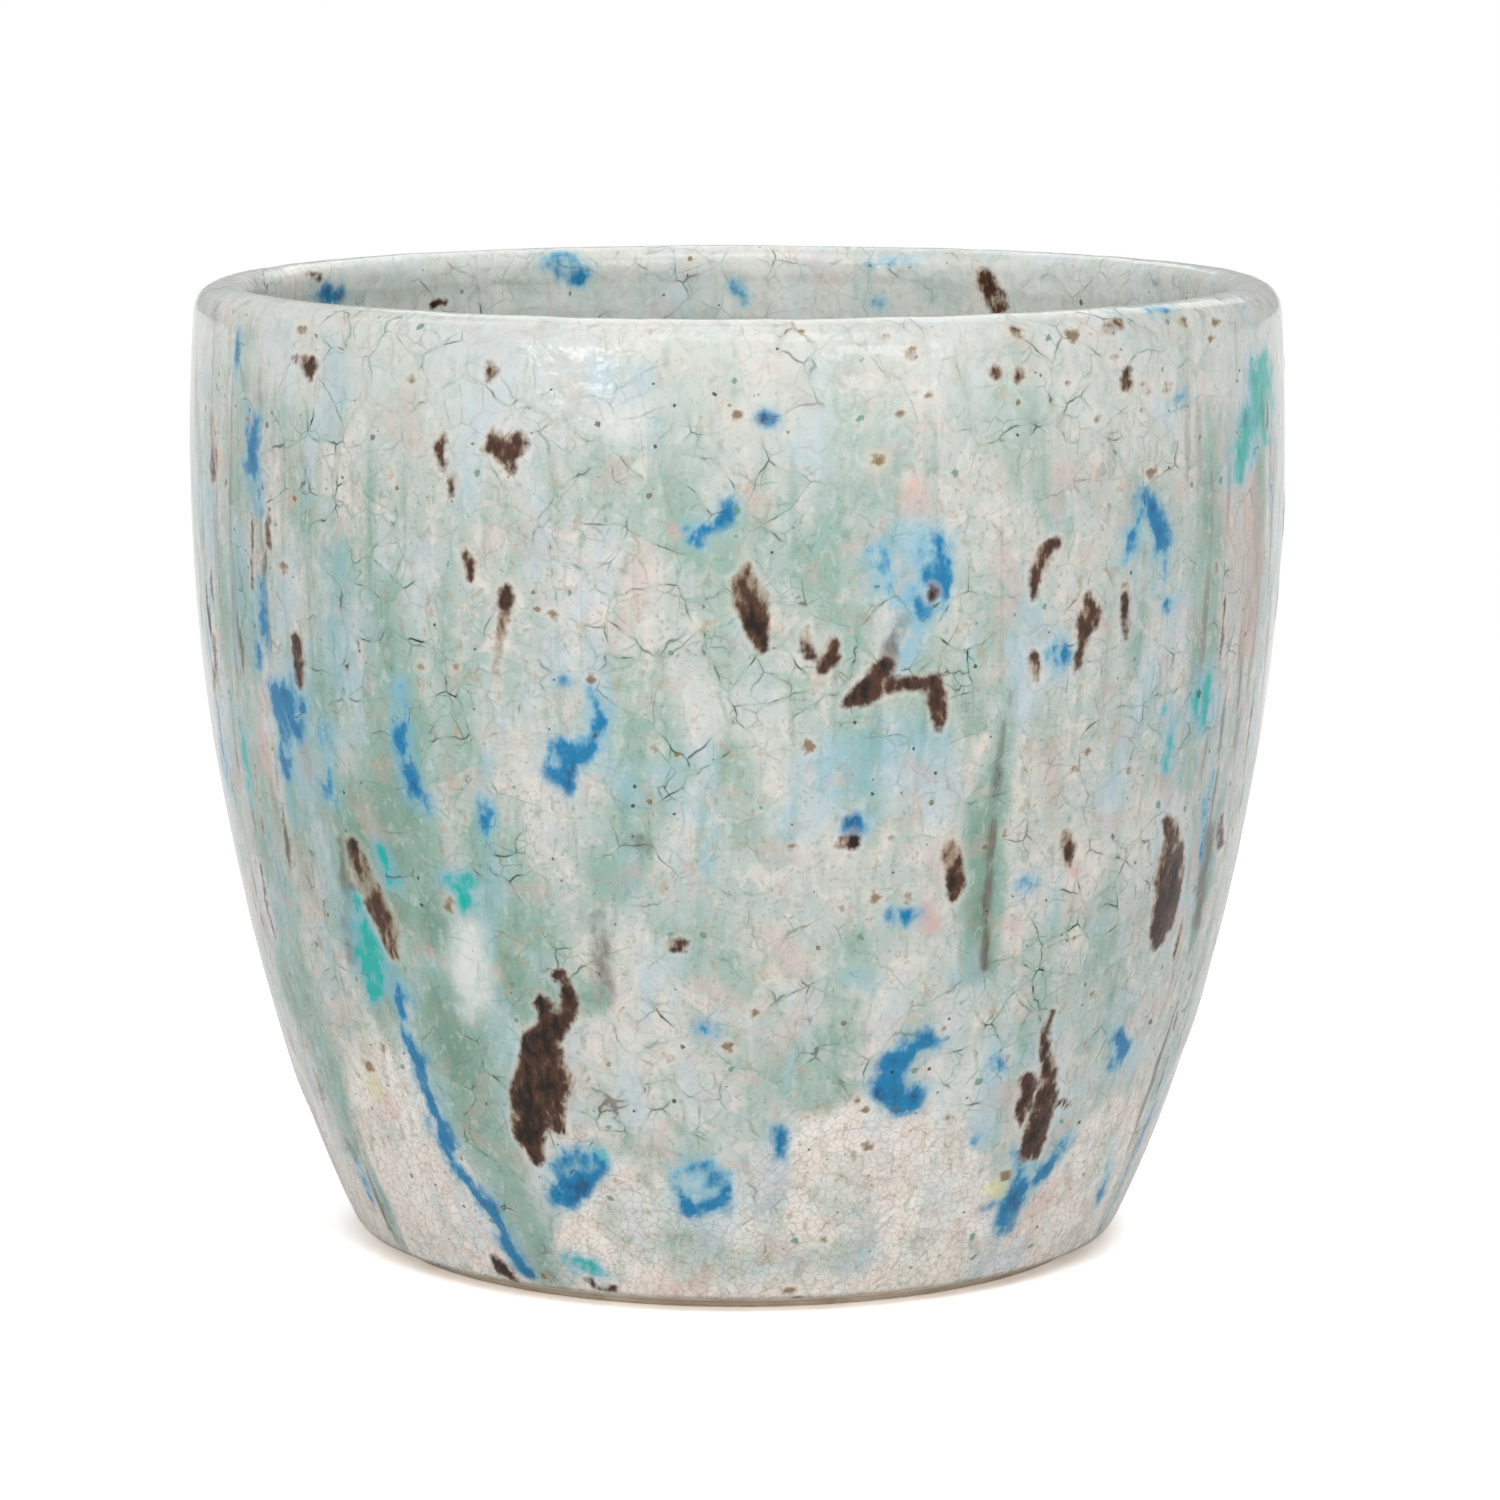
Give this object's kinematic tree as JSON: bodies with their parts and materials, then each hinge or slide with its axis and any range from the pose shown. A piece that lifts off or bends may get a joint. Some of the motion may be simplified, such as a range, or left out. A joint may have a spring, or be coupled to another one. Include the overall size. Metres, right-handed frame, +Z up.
{
  "type": "cachepot",
  "caption": "Round tapering cachepot in glazed stoneware, with a rolled lip, closed floor and bare foot ring; it hides a nursery pot and holds its drained water.",
  "frame": {"origin": "centre of the foot ring, on the plane that the pot stands on", "axes": "+Z up along the pot's axis, -Y towards the pictured side, +X to the right seen from that side"},
  "size_m": [0.19, 0.19, 0.1675],
  "materials": {
    "bare_clay": "unglazed fired stoneware, matt, fine sandy grain",
    "base_glaze": "glossy off-white glaze with a fine net of crazing",
    "liner_glaze": "glossy pale grey-green liner glaze",
    "run_glaze": "thick glossy poured glaze, milky white mottled with green, blue and brown splashes, coarse crackle"
  },
  "bodies": {
    "root": {"clay_body": "bare_clay", "base_glaze": "base_glaze", "liner_glaze": "liner_glaze", "run_glaze": "run_glaze"}
  },
  "joints": []
}
